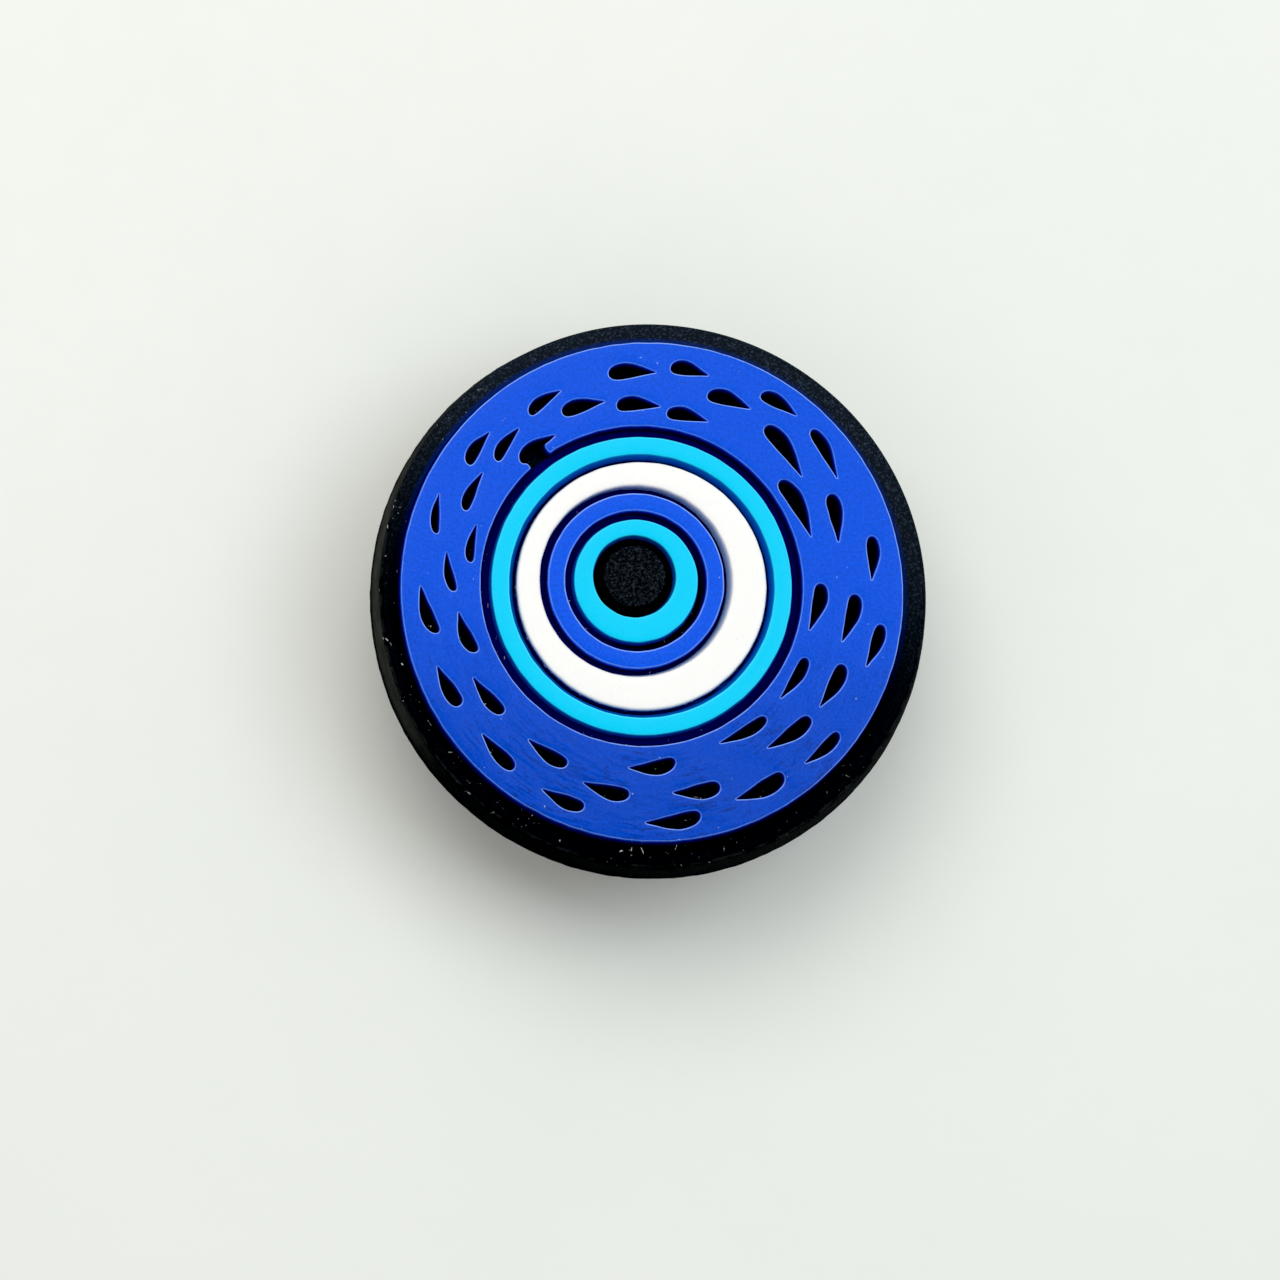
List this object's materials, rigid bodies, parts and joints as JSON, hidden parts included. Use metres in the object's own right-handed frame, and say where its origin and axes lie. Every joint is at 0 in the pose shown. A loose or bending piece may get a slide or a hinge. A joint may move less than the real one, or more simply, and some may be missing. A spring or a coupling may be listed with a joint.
{
  "type": "evil eye shoe charm",
  "caption": "Round moulded rubber charm with a raised evil eye: concentric colour rings, a blue field with teardrop openings and a push-in stud on the back.",
  "frame": {"origin": "centre of the stud button's flat foot, where the charm stands", "axes": "+Z out of the decorated face, +X to the viewer's right and +Y up when the eye is seen upright"},
  "size_m": [0.0284, 0.0284, 0.0113],
  "materials": {
    "black_pvc": "black soft PVC with a fine sandblasted grain from the mould, matt with a few dust specks",
    "blue_pvc": "royal blue soft PVC, satin, with faint flow ripples and paler rounded edges",
    "cyan_pvc": "bright cyan soft PVC, satin, softly domed shoulders",
    "white_pvc": "opaque white soft PVC, satin, softly domed shoulders",
    "stud_pvc": "black firm PVC, smooth satin moulding"
  },
  "bodies": {
    "root": {"base_disc": "black_pvc", "blue_field": "blue_pvc", "outer_cyan_ring": "cyan_pvc", "white_ring": "white_pvc", "inner_blue_ring": "blue_pvc", "inner_cyan_ring": "cyan_pvc", "pupil": "black_pvc", "shoe_stud": "stud_pvc"}
  },
  "joints": []
}
